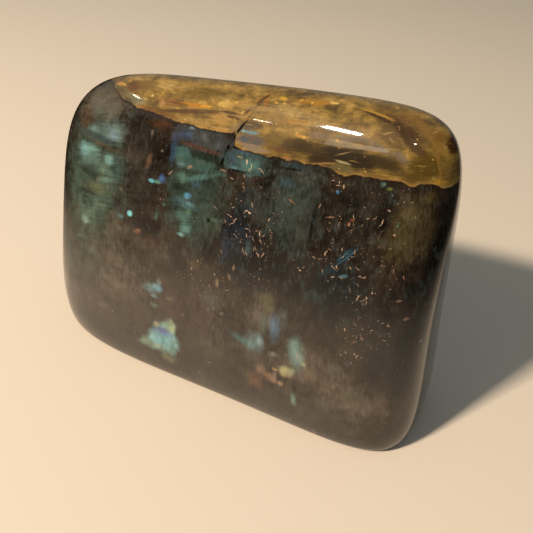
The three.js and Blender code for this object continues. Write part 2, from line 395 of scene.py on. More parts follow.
# Flashes: the places where the layers throw the lamp's light straight back. Soft ovals fade out
# inside their rims, so many of these are spread by one of two factors.
SPREAD = 1.15
WIDE_SPREAD = 1.35
FLASHES = [
    (-10.6, 8.8, 5.4, 2.2, 6, 0.6, "#7f9a80", 0.8),
    (-7.9, 6.8, 3 * SPREAD, 2.4 * SPREAD, 0, 0.9, "#87875f", 0.8),
    (-8.6, 11, 4.8, 5, 20, 0.5, "#8ec0b6", 0.95),
    (-7.4, 14.4, 2.3, 2.8, -20, 0.6, "#93b79a", 0.9),
    (-6.6, 14.9, 1.1 * SPREAD, 2 * SPREAD, 12, 0.8, "#b3c293", 0.85),
    (-6.2, 10, 1.2 * SPREAD, 3.8 * SPREAD, -4, 0.9, "#86b4a4", 0.8),
    (-9, 10.7, 4 * SPREAD, 1.5 * SPREAD, 8, 0.9, "#8fd0d8", 0.9),
    (-8.6, 12.6, 3.6 * SPREAD, 1.2 * SPREAD, 4, 0.8, "#7396c0", 0.85),
    (-8.8, 13.3, 2 * SPREAD, 1 * SPREAD, 6, 0.7, "#6a6f9c", 0.9),
    (-10.5, 14.2, 1 * SPREAD, 0.8 * SPREAD, 30, 0.8, "#b8a377", 0.8),
    (-13.4, 8.5, 2.2 * SPREAD, 1 * SPREAD, 20, 0.9, "#84a184", 0.8),
    (-9.8, 8.7, 1.5 * SPREAD, 0.9 * SPREAD, 0, 0.9, "#a9b487", 0.7),
    (-11.8, 22.3, 2.9 * SPREAD, 1.3 * SPREAD, 16, 0.8, "#79a19b", 0.85),
    (-10.4, 22.8, 1.5 * SPREAD, 1.2 * SPREAD, 0, 0.9, "#8bbdd2", 0.9),
    (-10.2, 24.2, 0.8 * SPREAD, 0.9 * SPREAD, 0, 0.9, "#7c8f86", 0.6),
    (-11.2, 20.7, 1 * SPREAD, 0.7 * SPREAD, 0, 0.9, "#7ea0a3", 0.7),
    (-11.3, 18.5, 1.4 * SPREAD, 1 * SPREAD, 0, 0.9, "#7e9276", 0.8),
    (-7.4, 21.3, 1.2 * SPREAD, 0.7 * SPREAD, 20, 0.9, "#797757", 0.7),
    (9.2, 18.6, 4, 1.3, -12, 0.9, "#56847e", 0.8),
    (12.4, 18.9, 3, 3.4, 14, 0.9, "#6f8f8c", 0.62),
    (13.3, 19.8, 0.9 * WIDE_SPREAD, 1.2 * WIDE_SPREAD, 0, 0.9, "#8fa9a9", 0.7),
    (15.9, 23.6, 1.3 * WIDE_SPREAD, 3.4 * WIDE_SPREAD, 4, 0.8, "#5f8094", 0.85),
    (17.3, 26, 1.1 * WIDE_SPREAD, 2.9 * WIDE_SPREAD, 4, 0.9, "#62706a", 0.7),
    (14.4, 27.2, 1.5 * WIDE_SPREAD, 1.2 * WIDE_SPREAD, 20, 0.9, "#6b6a48", 0.7),
    (13.7, 23.5, 0.9 * WIDE_SPREAD, 3.2 * WIDE_SPREAD, 0, 0.9, "#5c6d62", 0.6),
    (20.9, 19.4, 2.3, 5, 12, 0.8, "#6f988c", 0.62),
    (20, 21.4, 1.2 * WIDE_SPREAD, 2.4 * WIDE_SPREAD, 0, 0.9, "#7d9c92", 0.6),
    (22.7, 17.9, 0.6, 0.6, 0, 0.8, "#979e68", 0.7),
    (16.4, 17.9, 1 * WIDE_SPREAD, 0.7 * WIDE_SPREAD, 0, 0.9, "#8d8878", 0.8),
    (19.4, 15, 1.9, 1.9, -12, 0.7, "#bdb684", 0.8),
    (20.7, 15.6, 1.5, 1, 30, 0.9, "#9aa680", 0.7),
    (19.2, 14.2, 1.1, 0.9, 0, 0.9, "#b8a26c", 0.75),
    (17.2, 14.6, 0.9, 0.5, 0, 0.7, "#bb9a5c", 0.8),
    (17.3, 13, 0.5 * WIDE_SPREAD, 1.4 * WIDE_SPREAD, 0, 0.8, "#a59384", 0.7),
    (14.2, 13.4, 1.3 * WIDE_SPREAD, 1.3 * WIDE_SPREAD, 0, 0.8, "#8f7558", 0.8),
    (16.4, 12.3, 1.5 * WIDE_SPREAD, 1.1 * WIDE_SPREAD, -25, 0.7, "#b8906c", 0.88),
    (18.7, 11.9, 0.7 * WIDE_SPREAD, 0.6 * WIDE_SPREAD, 0, 0.7, "#b59a76", 0.85),
    (13.5, 10, 1.9 * WIDE_SPREAD, 2.2 * WIDE_SPREAD, -8, 0.8, "#845c48", 0.8),
    (12.6, 12, 1 * WIDE_SPREAD, 1.1 * WIDE_SPREAD, 0, 0.8, "#75584c", 0.6),
    (21.8, 9.1, 0.7 * WIDE_SPREAD, 1.5 * WIDE_SPREAD, 8, 0.8, "#8fb493", 0.88),
    (-18, 36.5, 0.9, 0.8, 20, 0.5, "#8fe6e6", 0.97),
    (-20.2, 35.2, 1 * SPREAD, 0.8 * SPREAD, 0, 0.8, "#62908c", 0.8),
    (-20.6, 32.6, 1 * SPREAD, 0.7 * SPREAD, 0, 0.9, "#6d7460", 0.7),
    (-13.3, 44.1, 1, 0.5, 0, 0.5, "#79d3e0", 0.97),
    (-12, 44.2, 1.1 * SPREAD, 0.45 * SPREAD, 5, 0.7, "#6aa48f", 0.9),
    (-11.1, 45.1, 0.9 * SPREAD, 1 * SPREAD, 0, 0.7, "#5f86bf", 0.9),
    (-5.2, 43.4, 1 * SPREAD, 0.7 * SPREAD, 15, 0.7, "#62a9c4", 0.92),
    (-11.6, 37.8, 0.6 * SPREAD, 1.2 * SPREAD, -15, 0.8, "#547260", 0.7),
    (-10, 40.5, 0.45 * SPREAD, 0.35 * SPREAD, 0, 0.7, "#5a8074", 0.7),
    (22.8, 50.8, 0.5, 0.4, 0, 0.6, "#4a82b4", 0.9),
    (29.7, 53.3, 0.55 * SPREAD, 0.5 * SPREAD, 0, 0.7, "#4f7f74", 0.9),
    (30.8, 52.8, 0.55 * SPREAD, 0.35 * SPREAD, 0, 0.7, "#7f8a48", 0.85),
    (-16, 33.4, 1.3 * SPREAD, 0.6 * SPREAD, 24, 0.7, "#8f6548", 0.85),
    (-26.8, 40.7, 0.7 * SPREAD, 0.7 * SPREAD, 0, 0.8, "#8a7f70", 0.7),
    (-20.5, 40.6, 0.7 * SPREAD, 0.6 * SPREAD, 0, 0.8, "#7a6a55", 0.7),
    (-14.5, 47.3, 0.8, 2, -12, 0.6, "#84654c", 0.8),
    (-15, 52, 0.45, 0.7, 0, 0.6, "#9a7a62", 0.85),
    (-5.6, 48.3, 0.9, 0.4, 30, 0.5, "#a8927c", 0.85),
    (-12, 49.6, 0.4, 0.35, 0, 0.6, "#8f8370", 0.8),
    (-9.4, 46.5, 0.8, 0.16, 50, 0.5, "#b39a84", 0.85),
    (1.2, 49.3, 0.9, 0.16, -2, 0.5, "#b8875a", 0.85),
    (26.2, 47.1, 0.5, 0.34, 0, 0.5, "#a8603f", 0.9),
    (25.7, 46.3, 0.34, 0.55, -15, 0.5, "#b4704c", 0.9),
    (22.4, 46.7, 1, 0.14, 14, 0.4, "#c89a78", 0.9),
    (15.3, 47.5, 1, 0.14, -22, 0.4, "#a8744c", 0.9),
    (6.1, 32.7, 0.4, 1, -5, 0.6, "#9c8264", 0.85),
    (5.4, 30.6, 0.45, 1, 25, 0.6, "#86705a", 0.8),
    (3, 28.6, 0.45 * SPREAD, 1.1 * SPREAD, 0, 0.7, "#9a7f62", 0.85),
    (4.6, 22.4, 0.7 * SPREAD, 0.4 * SPREAD, 30, 0.7, "#8c7a68", 0.8),
]
front_colour = patches(front_colour, FLASHES, place, FRONT, rims["cloudy"], dim=(0.64, 0.68, 0.8))

# The back has the same kinds of marking, placed by guess.
BACK = [
    (0, 3, 55, 22, 5, 0.6, "#5c4f43", 0.9),
    (-22, 38, 16, 14, 20, 0.5, "#3d4638", 0.9),
    (20, 42, 15, 10, -12, 0.5, "#2c3530", 0.9),
    (6, 26, 12, 8, 10, 0.7, "#3a322a", 0.8),
    (24, 44, 8, 2.4, -14, 0.5, "#4a7472", 0.85),
    (27, 40, 5, 1.4, -10, 0.6, "#5f8d86", 0.85),
    (16, 46, 4, 1.5, -16, 0.6, "#3f5f78", 0.85),
    (30, 43, 2, 1.2, -10, 0.8, "#84b6b6", 0.85),
    (-26, 30, 7, 1.5, 24, 0.6, "#55705f", 0.8),
    (-20, 34, 5, 1, 22, 0.7, "#6f8f6c", 0.8),
    (-14, 42, 3, 3, 0, 0.6, "#1c1814", 0.9),
    (-31, 22, 3, 1.6, 20, 0.8, "#7a8f62", 0.7),
    (-6, 18, 2.4, 3.2, 12, 0.7, "#7a9a94", 0.85),
    (-5, 19, 1.2, 1.6, 12, 0.8, "#7fa4c4", 0.85),
    (-3.6, 15.6, 1.6, 1, 0, 0.8, "#a39a66", 0.8),
    (10, 14, 1.2, 2.6, -8, 0.8, "#5f7f74", 0.8),
    (34, 20, 2.2, 3, 0, 0.8, "#555a44", 0.7),
    (-36, 46, 4, 6, 0, 0.7, "#2a221a", 0.8),
]
back_colour = patches(body_colour, BACK, place, -FRONT, rims["layered"], dim=(0.64, 0.68, 0.78))
behind = add("ShaderNodeMapRange", {"Value": deep, "From Min": -1, "From Max": 5},
             interpolation_type="SMOOTHSTEP", clamp=False).outputs[0]
colour = add("ShaderNodeMix", {0: behind, COLOUR_A: front_colour, COLOUR_B: back_colour},
             data_type="RGBA").outputs[MIXED]

# Fibres and fine layers show in every part as lighter and darker lines: layers at the left, fibres
# at the right, and neither in the milky foot.
leftwards = add("ShaderNodeMapRange", {
    "Value": across, "From Min": -18, "From Max": 6, "To Min": 0.65, "To Max": 0},
    interpolation_type="SMOOTHSTEP", clamp=False).outputs[0]
lines = add("ShaderNodeMix", {0: leftwards, 2: noise["fibres"], 3: noise["layers"]}).outputs[0]
clear = add("ShaderNodeMapRange", {
    "Value": level, "From Min": 12, "From Max": 40, "To Min": 0.35, "To Max": 2.0},
    interpolation_type="SMOOTHSTEP", clamp=False).outputs[0]
line_relief = add("ShaderNodeMath", {0: lines, 1: -0.5}, operation="ADD").outputs[0]
line_tone = add("ShaderNodeMath", {0: line_relief, 1: clear, 2: -0.45}, operation="MULTIPLY_ADD").outputs[0]
inputs = {0: noise["mottle"], 1: 1.3, 2: line_tone}
mottle_tone = add("ShaderNodeMath", inputs, operation="MULTIPLY_ADD").outputs[0]
inputs = {0: noise["cloud"], 1: 1.6, 2: mottle_tone}
tone = add("ShaderNodeMath", inputs, operation="MULTIPLY_ADD").outputs[0]
grey = add("ShaderNodeCombineColor", {0: tone, 1: tone, 2: tone}).outputs[0]
colour = add("ShaderNodeMix", {0: 1.0, COLOUR_A: colour, COLOUR_B: grey}, data_type="RGBA",
             blend_type="MULTIPLY").outputs[MIXED]

# Some fibres shine slate blue above the foot.
shining = add("ShaderNodeMapRange", {
    "Value": both_noises["upright"], "From Min": 1, "From Max": 1.3, "To Max": 0.5},
    interpolation_type="SMOOTHSTEP", clamp=False).outputs[0]
raised_up = add("ShaderNodeMapRange", {"Value": level, "From Min": 22, "From Max": 36},
                interpolation_type="SMOOTHSTEP", clamp=False).outputs[0]
shine = add("ShaderNodeMath", {0: shining, 1: raised_up}, operation="MULTIPLY").outputs[0]
colour = add("ShaderNodeMix", {0: shine, COLOUR_A: colour, COLOUR_B: linear("#3b4a4b")},
             data_type="RGBA").outputs[MIXED]

# Flakes of ore: thin copper-coloured dashes, each cut through by the polished skin at its own height.
# They crowd in a few places: each one's middle across and up, half its width and half its height.
CROWDS = [(9, 42.5, 10, 15), (26.5, 43.5, 11, 14), (32, 28, 8, 8), (1, 30, 7, 5)]
CURL_SIZE = 1 / 0.45
FLAKES_CURL = 3.2  # how far the noise can shift a flake
MARKS_CURL = 1.6
crowded = add("ShaderNodeMapRange", {
    "Value": noise["cloud"], "From Min": 0.4, "From Max": 0.6, "To Min": -0.3, "To Max": 0.3},
    interpolation_type="SMOOTHSTEP", clamp=False).outputs[0]
for x, z, half_x, half_z in CROWDS:
    crowd = add("ShaderNodeMapping", {
        "Vector": place, "Location": (x, 0, z), "Scale": (half_x, THROUGH, half_z)}, vector_type="TEXTURE")
    ball = add("ShaderNodeTexGradient", {"Vector": crowd.outputs[0]}, gradient_type="SPHERICAL")
    crowded = add("ShaderNodeMath", {0: crowded, 1: ball.outputs["Fac"]}, operation="ADD").outputs[0]
curl = add("ShaderNodeTexNoise", {"Vector": place, "Scale": 1 / CURL_SIZE, "Detail": 2})
bend = add("ShaderNodeVectorMath", {0: curl.outputs["Color"], 1: [FLAKES_CURL] * 3, 2: place},
           operation="MULTIPLY_ADD").outputs[0]
# Half a flake's width and height, its lean, its cell's size in flakes, and its share outside the crowds.
FLAKES = [
    (0.07, 0.5, 8, 7.5, 0.15),
    (0.06, 0.42, 45, 8.5, 0.1),
    (0.06, 0.42, -55, 8.5, 0.1),
    (0.09, 0.11, 0, 8.0, 0.4),
    (0.05, 0.06, 0, 9.0, 0.6),
]
for half_wide, half_high, lean, cell, elsewhere in FLAKES:
    flake = add("ShaderNodeMapping", {
        "Vector": bend, "Rotation": (0, radians(-lean), 0),
        "Scale": (cell * half_wide, cell * half_high, cell * half_high)}, vector_type="TEXTURE")
    nearest = add("ShaderNodeTexVoronoi", {"Vector": flake.outputs[0], "Scale": 1, "Detail": 0})
    reach = add("ShaderNodeMapRange", {
        "Value": crowded, "From Min": 0.05, "From Max": 0.5,
        "To Min": elsewhere / cell, "To Max": 1.15 / cell},
        interpolation_type="SMOOTHSTEP", clamp=False)
    inputs = {0: reach.outputs[0], 1: nearest.outputs["Distance"]}
    inside = add("ShaderNodeMath", inputs, operation="SUBTRACT")
    share = add("ShaderNodeMapRange", {"Value": inside.outputs[0], "From Max": 0.3 / cell, "To Max": 0.9},
                interpolation_type="SMOOTHSTEP", clamp=False)
    hues = add("ShaderNodeValToRGB", {"Fac": nearest.outputs["Color"]})
    hues.color_ramp.elements[0].position = 0.44
    hues.color_ramp.elements[0].color = linear("#2a211b")
    hues.color_ramp.elements[1].position = 0.74
    hues.color_ramp.elements[1].color = linear("#dcc0a8")
    inputs = {0: share.outputs[0], COLOUR_A: colour, COLOUR_B: hues.outputs["Color"]}
    colour = add("ShaderNodeMix", inputs, data_type="RGBA").outputs[MIXED]

# The largest flakes, each a little curled.
MARKS = [
    (8.2, 45.3, 0.1, 0.6, 10, 0.4, "#e0b898", 0.9),
    (6.8, 43.5, 0.1, 0.5, -20, 0.4, "#c09a7c", 0.9),
    (10.5, 40.7, 0.12, 0.5, 30, 0.4, "#e0b898", 0.9),
    (4.8, 45.3, 0.3, 0.1, 10, 0.5, "#b08c6e", 0.9),
    (7.8, 36.5, 0.1, 1.2, 5, 0.4, "#b08c6e", 0.9),
    (3.1, 35, 0.12, 0.7, 15, 0.5, "#b89070", 0.9),
    (10.6, 36.7, 0.1, 0.6, 25, 0.4, "#c8a484", 0.9),
    (11.4, 36.7, 0.1, 0.6, -25, 0.4, "#c8a484", 0.9),
    (20.2, 48, 0.1, 0.6, -10, 0.4, "#c09a7c", 0.9),
    (24.1, 46, 0.1, 0.5, -30, 0.4, "#c09a7c", 0.9),
    (27.9, 42, 0.12, 0.7, 12, 0.4, "#b88e70", 0.9),
    (23.3, 41.3, 0.6, 0.1, -12, 0.4, "#b88e70", 0.9),
    (22.3, 39.2, 0.4, 0.1, 20, 0.4, "#b08c6e", 0.9),
    (30.2, 37.9, 0.5, 0.1, 15, 0.4, "#c8a484", 0.9),
    (19, 36.3, 0.3, 0.2, 0, 0.4, "#e0b898", 0.9),
    (33.5, 45.8, 0.4, 0.3, 20, 0.5, "#d8b090", 0.9),
    (36.5, 38.7, 0.12, 0.6, 20, 0.4, "#b88e70", 0.9),
    (36.5, 34.7, 0.6 * SPREAD, 0.3 * SPREAD, 20, 0.7, "#a07c62", 0.8),
    (38.3, 31.3, 0.5 * SPREAD, 0.4 * SPREAD, 0, 0.7, "#98745c", 0.8),
    (31, 25.5, 0.7 * SPREAD, 0.3 * SPREAD, 40, 0.8, "#93695a", 0.8),
    (32.4, 26.4, 0.3 * SPREAD, 0.5 * SPREAD, 0, 0.8, "#93695a", 0.8),
]
curled = add("ShaderNodeVectorMath", {0: curl.outputs["Color"], 1: [MARKS_CURL] * 3, 2: place},
             operation="MULTIPLY_ADD").outputs[0]
uncurled = add("ShaderNodeVectorMath", {0: curled, 1: [MARKS_CURL / 2] * 3}, operation="SUBTRACT").outputs[0]
colour = patches(colour, MARKS, uncurled, FRONT, rims["cloudy"], dim=(0.64, 0.68, 0.8))

# The rind's lower edge, in front and behind: places across and up.
FRONT_EDGE = [
    (-45, 64), (-31, 60.5), (-28.5, 58), (-27.5, 57), (-26, 56.4), (-24, 55.6), (-22, 55.5), (-20, 55.1),
    (-16, 55.1), (-13, 54.8), (-10, 54.7), (-8, 54.8), (-4, 54.7), (-2, 54.9), (0, 55), (1.3, 55.2),
    (2, 55.5), (2.4, 53.5), (4, 53.2), (8, 53.2), (9.2, 53.1), (10, 53.5), (13, 53.4), (14, 53.6),
    (16, 53.6), (18, 53.9), (20.5, 53.9), (21.5, 53.5), (23.4, 53.3), (25, 53.9), (28, 54), (30, 54),
    (32, 54.1), (33.2, 53.8), (33.8, 53.4), (34.4, 53.6), (35, 54), (37, 54), (38.3, 53.3), (39.5, 53.3),
    (40.5, 56), (45, 60),
]
BACK_EDGE = [
    (-45, 63), (-34, 60), (-30, 56), (-18, 54), (-9, 55), (-8.4, 52.6), (4, 51.8), (15, 53), (16, 54.6),
    (28, 54), (36, 52), (41, 52.6), (45, 56),
]
EDGE_REACH = 45  # the curves run this far to each side
EDGE_FOOT = 50  # from this level
EDGE_SPAN = 14  # and up by this much
along = add("ShaderNodeMath", {0: across, 1: 0.5 / EDGE_REACH, 2: 0.5}, operation="MULTIPLY_ADD").outputs[0]
edges = []
for outline in (FRONT_EDGE, BACK_EDGE):
    drawn = add("ShaderNodeFloatCurve", {"Value": along})
    curve = drawn.mapping.curves[0]
    spots = [((x / EDGE_REACH + 1) / 2, (z - EDGE_FOOT) / EDGE_SPAN) for x, z in outline]
    curve.points[0].location = spots[0]
    curve.points[1].location = spots[-1]
    for spot in spots[1:-1]:
        curve.points.new(*spot)
    for point in curve.points:
        point.handle_type = "VECTOR"
    drawn.mapping.update()
    inputs = {0: drawn.outputs[0], 1: EDGE_SPAN, 2: EDGE_FOOT}
    edges.append(add("ShaderNodeMath", inputs, operation="MULTIPLY_ADD").outputs[0])
edge = add("ShaderNodeMix", {0: behind, 2: edges[0], 3: edges[1]}).outputs[0]
raised = add("ShaderNodeMath", {0: rims["lumpy"], 1: 0.9, 2: level}, operation="MULTIPLY_ADD").outputs[0]
over_edge = add("ShaderNodeMath", {0: raised, 1: edge}, operation="SUBTRACT").outputs[0]
rind_share = add("ShaderNodeMapRange", {"Value": over_edge, "From Min": -0.1, "From Max": 0.1},
                 interpolation_type="SMOOTHSTEP", clamp=False).outputs[0]

# The rind: plates and fibres of feldspar stained golden by iron.
gold_mix = add("ShaderNodeMix", {0: 0.55, 2: noise["plates"], 3: noise["blotches"]}).outputs[0]
rind = add("ShaderNodeValToRGB", {"Fac": gold_mix})
ramp = rind.color_ramp
ramp.elements[0].position = 0.36
ramp.elements[0].color = linear("#4f4127")
ramp.elements[1].position = 0.66
ramp.elements[1].color = linear("#bb9d5c")
for position, hue in [(0.43, "#69562f"), (0.5, "#846d37"), (0.57, "#9c8145")]:
    ramp.elements.new(position).color = linear(hue)
rind_colour = rind.outputs["Color"]

# x, z, half width, half height, lean, softness, colour, share
RIND_FRONT = [
    (-26, 55.5, 5, 3, 10, 0.45, "#6f634a", 0.92),
    (-22.5, 57.6, 2.6, 0.9, 8, 0.55, "#6e4a30", 0.92),
    (-26.5, 57.2, 2.2, 0.3, 4, 0.35, "#c8974e", 0.97),
    (-21, 56, 4.4, 1, 4, 0.6, "#7e7c66", 0.8),
    (-15, 55.2, 6, 0.8, 0, 0.45, "#7a5428", 0.92),
    (-15.5, 58.8, 2.8, 0.6, 3, 0.55, "#c8a465", 0.92),
    (-13, 57, 4.8, 0.8, 4, 0.45, "#8a5f36", 0.82),
    (-8, 56.8, 1.4, 0.9, 0, 0.55, "#b98552", 0.82),
    (-14.7, 56.6, 1, 0.7, 0, 0.55, "#b98a55", 0.72),
    (-9.5, 55.8, 1.5, 0.6, 0, 0.65, "#7d5c30", 0.82),
    (-6.5, 55.4, 5, 0.6, 0, 0.55, "#a98652", 0.72),
    (-1.5, 56.6, 3.5, 1.2, 3, 0.45, "#b28a4a", 0.97),
    (-1, 55.3, 2.8, 0.5, 2, 0.55, "#c2985c", 0.82),
    (-8.6, 56.5, 10.5, 0.5, 9, 0.5, "#5a3f24", 0.9),
    (-7.8, 57.55, 4.6, 0.34, 4, 0.35, "#c48630", 0.97),
    (-5.6, 57.75, 1.8, 0.26, 4, 0.45, "#dca03a", 0.97),
    (0, 57.8, 2.8, 0.34, 2, 0.5, "#553e28", 0.9),
    (0.8, 57.3, 2, 0.34, 0, 0.45, "#5c4024", 0.92),
    (-11, 57.2, 3, 0.25, 4, 0.45, "#6e4a20", 0.82),
    (-1.6, 58.8, 1.8, 0.7, 3, 0.55, "#cda659", 0.97),
    (1, 59.4, 3.2, 0.8, 10, 0.55, "#b8904c", 0.82),
    (-8, 59, 4.4, 1, 4, 0.65, "#7a602a", 0.82),
    (-20, 58, 3, 0.8, 4, 0.65, "#6e5a34", 0.82),
    (3, 58.6, 1.2, 0.3, 50, 0.5, "#5c3f20", 0.9),
    (4.6, 59.8, 1.8, 0.4, 50, 0.45, "#5a3e1e", 0.97),
    (5.8, 60.2, 0.9, 1.0, 45, 0.65, "#b8782a", 0.87),
    (4, 60.2, 1.4, 0.35, 40, 0.65, "#a97a3e", 0.72),
    # Painted sheen: the top edge near the highlight is lightened and greyed.
    (9, 59.6, 9, 1.7, 3, 0.7, "#b89c6c", 0.55),
    (9, 58.6, 4.4, 1.1, 0, 0.65, "#8e6a30", 0.6),
    (12.5, 58.9, 3.2, 0.6, 4, 0.55, "#b98a3e", 0.82),
    (3.6, 55.8, 4.4, 1.7, 4, 0.6, "#6b645f", 0.6),
    (10.5, 55.5, 5, 1.9, 3, 0.6, "#54442f", 0.85),
    (5, 57, 2.6, 0.7, 6, 0.5, "#564838", 0.9),
    (5, 55.95, 2, 0.35, 6, 0.35, "#7c98a2", 0.97),
    (3.4, 55.8, 0.6, 0.35, 0, 0.55, "#88aeb4", 0.92),
    (5.3, 54.8, 4, 1, 6, 0.35, "#6e6058", 0.95),
    (4, 54.8, 1.3, 0.6, 0, 0.55, "#545d68", 0.92),
    (6.3, 54.8, 1, 0.6, 0, 0.55, "#555b62", 0.82),
    (6, 53.9, 4.2, 0.7, 0, 0.45, "#93806e", 0.92),
    (9.5, 55.6, 2.4, 1.6, 8, 0.55, "#7e663c", 0.92),
    (12, 54.6, 3.6, 0.6, 4, 0.55, "#6d4c30", 0.92),
    (12.6, 53.7, 1.6, 0.34, 0, 0.45, "#a5714c", 0.97),
    (15, 55.8, 4.2, 1.8, 5, 0.55, "#4a3a22", 0.95),
    (14.5, 57.15, 1.8, 0.3, 4, 0.45, "#d39a40", 0.97),
    # Painted reflection: the start of a soft grey glow mirrored along the rounded top edge.
    (17, 57.8, 3.4, 0.8, 8, 0.65, "#85705a", 0.92),
    (23.5, 56.2, 7, 1.9, 3, 0.5, "#3b2d1a", 0.96),
    (21.5, 55.7, 11, 2.7, 1, 0.6, "#30261a", 0.95),
    (18.5, 54.8, 3.4, 1, 6, 0.45, "#3c2e1c", 0.97),
    # Painted reflection: the rest of the soft grey glow along the rounded top edge.
    (22, 58.3, 5, 0.8, 6, 0.7, "#796b5b", 0.92),
    (27.5, 58, 4, 0.9, -12, 0.7, "#796b5b", 0.97),
    (31.3, 57.2, 2.4, 0.8, -28, 0.65, "#80705e", 0.92),
    (22, 56.3, 2.1, 0.13, 22, 0.35, "#8c7454", 0.97),
    (22.4, 54.3, 2.6, 1, -2, 0.4, "#6c5d3c", 0.95),
    (22.4, 55.1, 1.9, 0.22, -2, 0.35, "#a39470", 0.97),
    (19.6, 54.4, 2.8, 0.18, 12, 0.35, "#9a7442", 0.97),
    (26, 55.3, 3, 0.9, 2, 0.5, "#30241a", 0.85),
    (28.5, 54.2, 3, 0.5, 0, 0.5, "#7d6230", 0.9),
    (29.5, 56, 4.6, 1.6, -10, 0.6, "#3f3220", 0.9),
    (30, 60.8, 8, 2, -14, 0.6, "#543a20", 0.9),
    (28.3, 59.8, 2.8, 1.4, 0, 0.55, "#6c5430", 0.82),
    (28, 60.1, 1.1, 0.2, 20, 0.45, "#b08c58", 0.72),
    (28.8, 59.4, 0.9, 0.2, -30, 0.45, "#a8845a", 0.72),
    (33, 58.7, 3.8, 1, -28, 0.5, "#50381e", 0.9),
    (31.5, 60.4, 2, 0.8, -20, 0.45, "#4e361a", 0.97),
    (35.2, 56.2, 3.6, 2.6, 0, 0.45, "#5f4a1e", 0.97),
    (33.4, 54.6, 2, 1.2, 0, 0.65, "#58441e", 0.82),
    (37.6, 54.2, 1.6, 0.6, 0, 0.5, "#c0922f", 0.9),
    (38.3, 55.8, 0.9, 2.2, 10, 0.6, "#7d6330", 0.8),
    (36.6, 54.9, 0.5, 0.35, 0, 0.55, "#a5a050", 0.82),
    (35.5, 60.3, 2.6, 0.7, -24, 0.6, "#8a6431", 0.9),
    # Painted shade: the rind on the right end, turned away from the lamp, is darkened.
    (40.6, 56.5, 1.6, 5, 5, 0.35, "#2c1a0e", 0.97),
    (37.8, 59, 2, 0.8, -55, 0.45, "#4a2d15", 0.97),
    # Painted glints: small bright spots of lamplight in the gold.
    (-2.7, 58.6, 0.45, 0.28, 10, 0.8, "#efcb7a", 0.9),
    (-1.6, 59.1, 0.32, 0.24, 0, 0.8, "#f2d48c", 0.9),
    (0.2, 59.3, 0.36, 0.22, 30, 0.8, "#e5b765", 0.9),
    (14.6, 57.1, 0.45, 0.3, 0, 0.8, "#f0c058", 0.9),
    (13.1, 57.4, 0.3, 0.2, 0, 0.8, "#e8b04c", 0.9),
    (-17.4, 57.2, 0.5, 0.3, 0, 0.8, "#e9c684", 0.9),
]
rind_colour = patches(rind_colour, RIND_FRONT, place, FRONT, rims["plated"], dim=(0.75, 0.82, 0.86))

# The same along the top, where a row's second value is how far back it lies.
TOP = 62.0  # level of the middle of the top's markings
laid_flat = add("ShaderNodeCombineXYZ", {"X": across, "Y": level, "Z": deep}).outputs[0]
RIND_TOP = [
    (-16, 2.6, 3.2, 1, 0, 0.55, "#c29b58", 0.92),
    (-20, 1.5, 3.4, 1.4, -10, 0.65, "#84693a", 0.72),
    (-6, 1.6, 4.4, 1, 0, 0.65, "#705826", 0.82),
    (-2, -0.2, 1.8, 0.6, 0, 0.55, "#d0aa5c", 0.72),
    (5, 1.6, 1.8, 0.35, 48, 0.45, "#5c3f1c", 0.97),
    (8.5, 2, 1.2, 0.5, 0, 0.55, "#d8a83e", 0.92),
    (14, 2.2, 4.4, 0.9, 4, 0.55, "#b8842f", 0.82),
    (17.6, 2.6, 1, 0.35, 0, 0.45, "#e6c067", 0.97),
    (25, 2, 4.4, 0.4, -8, 0.45, "#b98c3f", 0.92),
    (26, 1.5, 5, 0.35, -10, 0.45, "#4c361a", 0.97),
    (33, 2.4, 6, 1.2, -16, 0.6, "#8a6630", 0.85),
    (36, 0.6, 4, 0.5, -30, 0.6, "#8f6c33", 0.8),
    (30, 0.6, 2.6, 0.7, -30, 0.55, "#463016", 0.97),
    (-12, 8, 12, 4, 3, 0.45, "#8a6c34", 0.82),
    (12, 9, 14, 3, -4, 0.45, "#6e5226", 0.92),
    (30, 8, 7, 4, -12, 0.55, "#a07a3a", 0.82),
    (2, 7, 9, 0.5, 12, 0.45, "#4c3418", 0.97),
    # Painted glints: small bright spots of lamplight in the gold.
    (7.6, 1.1, 0.5, 0.35, 0, 0.8, "#f0b552", 0.9),
    (9.1, 1.2, 0.3, 0.3, 0, 0.8, "#f2c66a", 0.9),
    (11.8, 2.2, 0.6, 0.3, 20, 0.8, "#eeb656", 0.9),
    (13.9, 2, 0.35, 0.3, 0, 0.8, "#f4d58e", 0.9),
]
rind_colour = patches(rind_colour, RIND_TOP, laid_flat, TOP, rims["lumpy"], dim=(0.78, 0.84, 0.88))

# Fibres, fine layers and small painted glints in the gold.
gold_lines = add("ShaderNodeMix", {0: 0.65, 2: noise["gold_fibres"], 3: noise["gold_layers"]}).outputs[0]
gold_tone = add("ShaderNodeMath", {0: gold_lines, 1: 1.5, 2: 0.25}, operation="MULTIPLY_ADD").outputs[0]
gold_grey = add("ShaderNodeCombineColor", {0: gold_tone, 1: gold_tone, 2: gold_tone}).outputs[0]
rind_colour = add("ShaderNodeMix", {0: 1.0, COLOUR_A: rind_colour, COLOUR_B: gold_grey}, data_type="RGBA",
                  blend_type="MULTIPLY").outputs[MIXED]
glints = add("ShaderNodeTexVoronoi", {"Vector": bend, "Scale": 1 / 1.1, "Detail": 0}).outputs["Distance"]
glint_share = add("ShaderNodeMapRange", {
    "Value": glints, "From Min": 0.08, "From Max": 0.22, "To Min": 0.75, "To Max": 0},
    interpolation_type="SMOOTHSTEP", clamp=False).outputs[0]
glint_zone = add("ShaderNodeMapRange", {"Value": noise["blotches"], "From Min": 0.5, "From Max": 0.62},
                 interpolation_type="SMOOTHSTEP", clamp=False).outputs[0]
glint = add("ShaderNodeMath", {0: glint_share, 1: glint_zone}, operation="MULTIPLY").outputs[0]
rind_colour = add("ShaderNodeMix", {0: glint, COLOUR_A: rind_colour, COLOUR_B: linear("#dcb567")},
                  data_type="RGBA").outputs[MIXED]

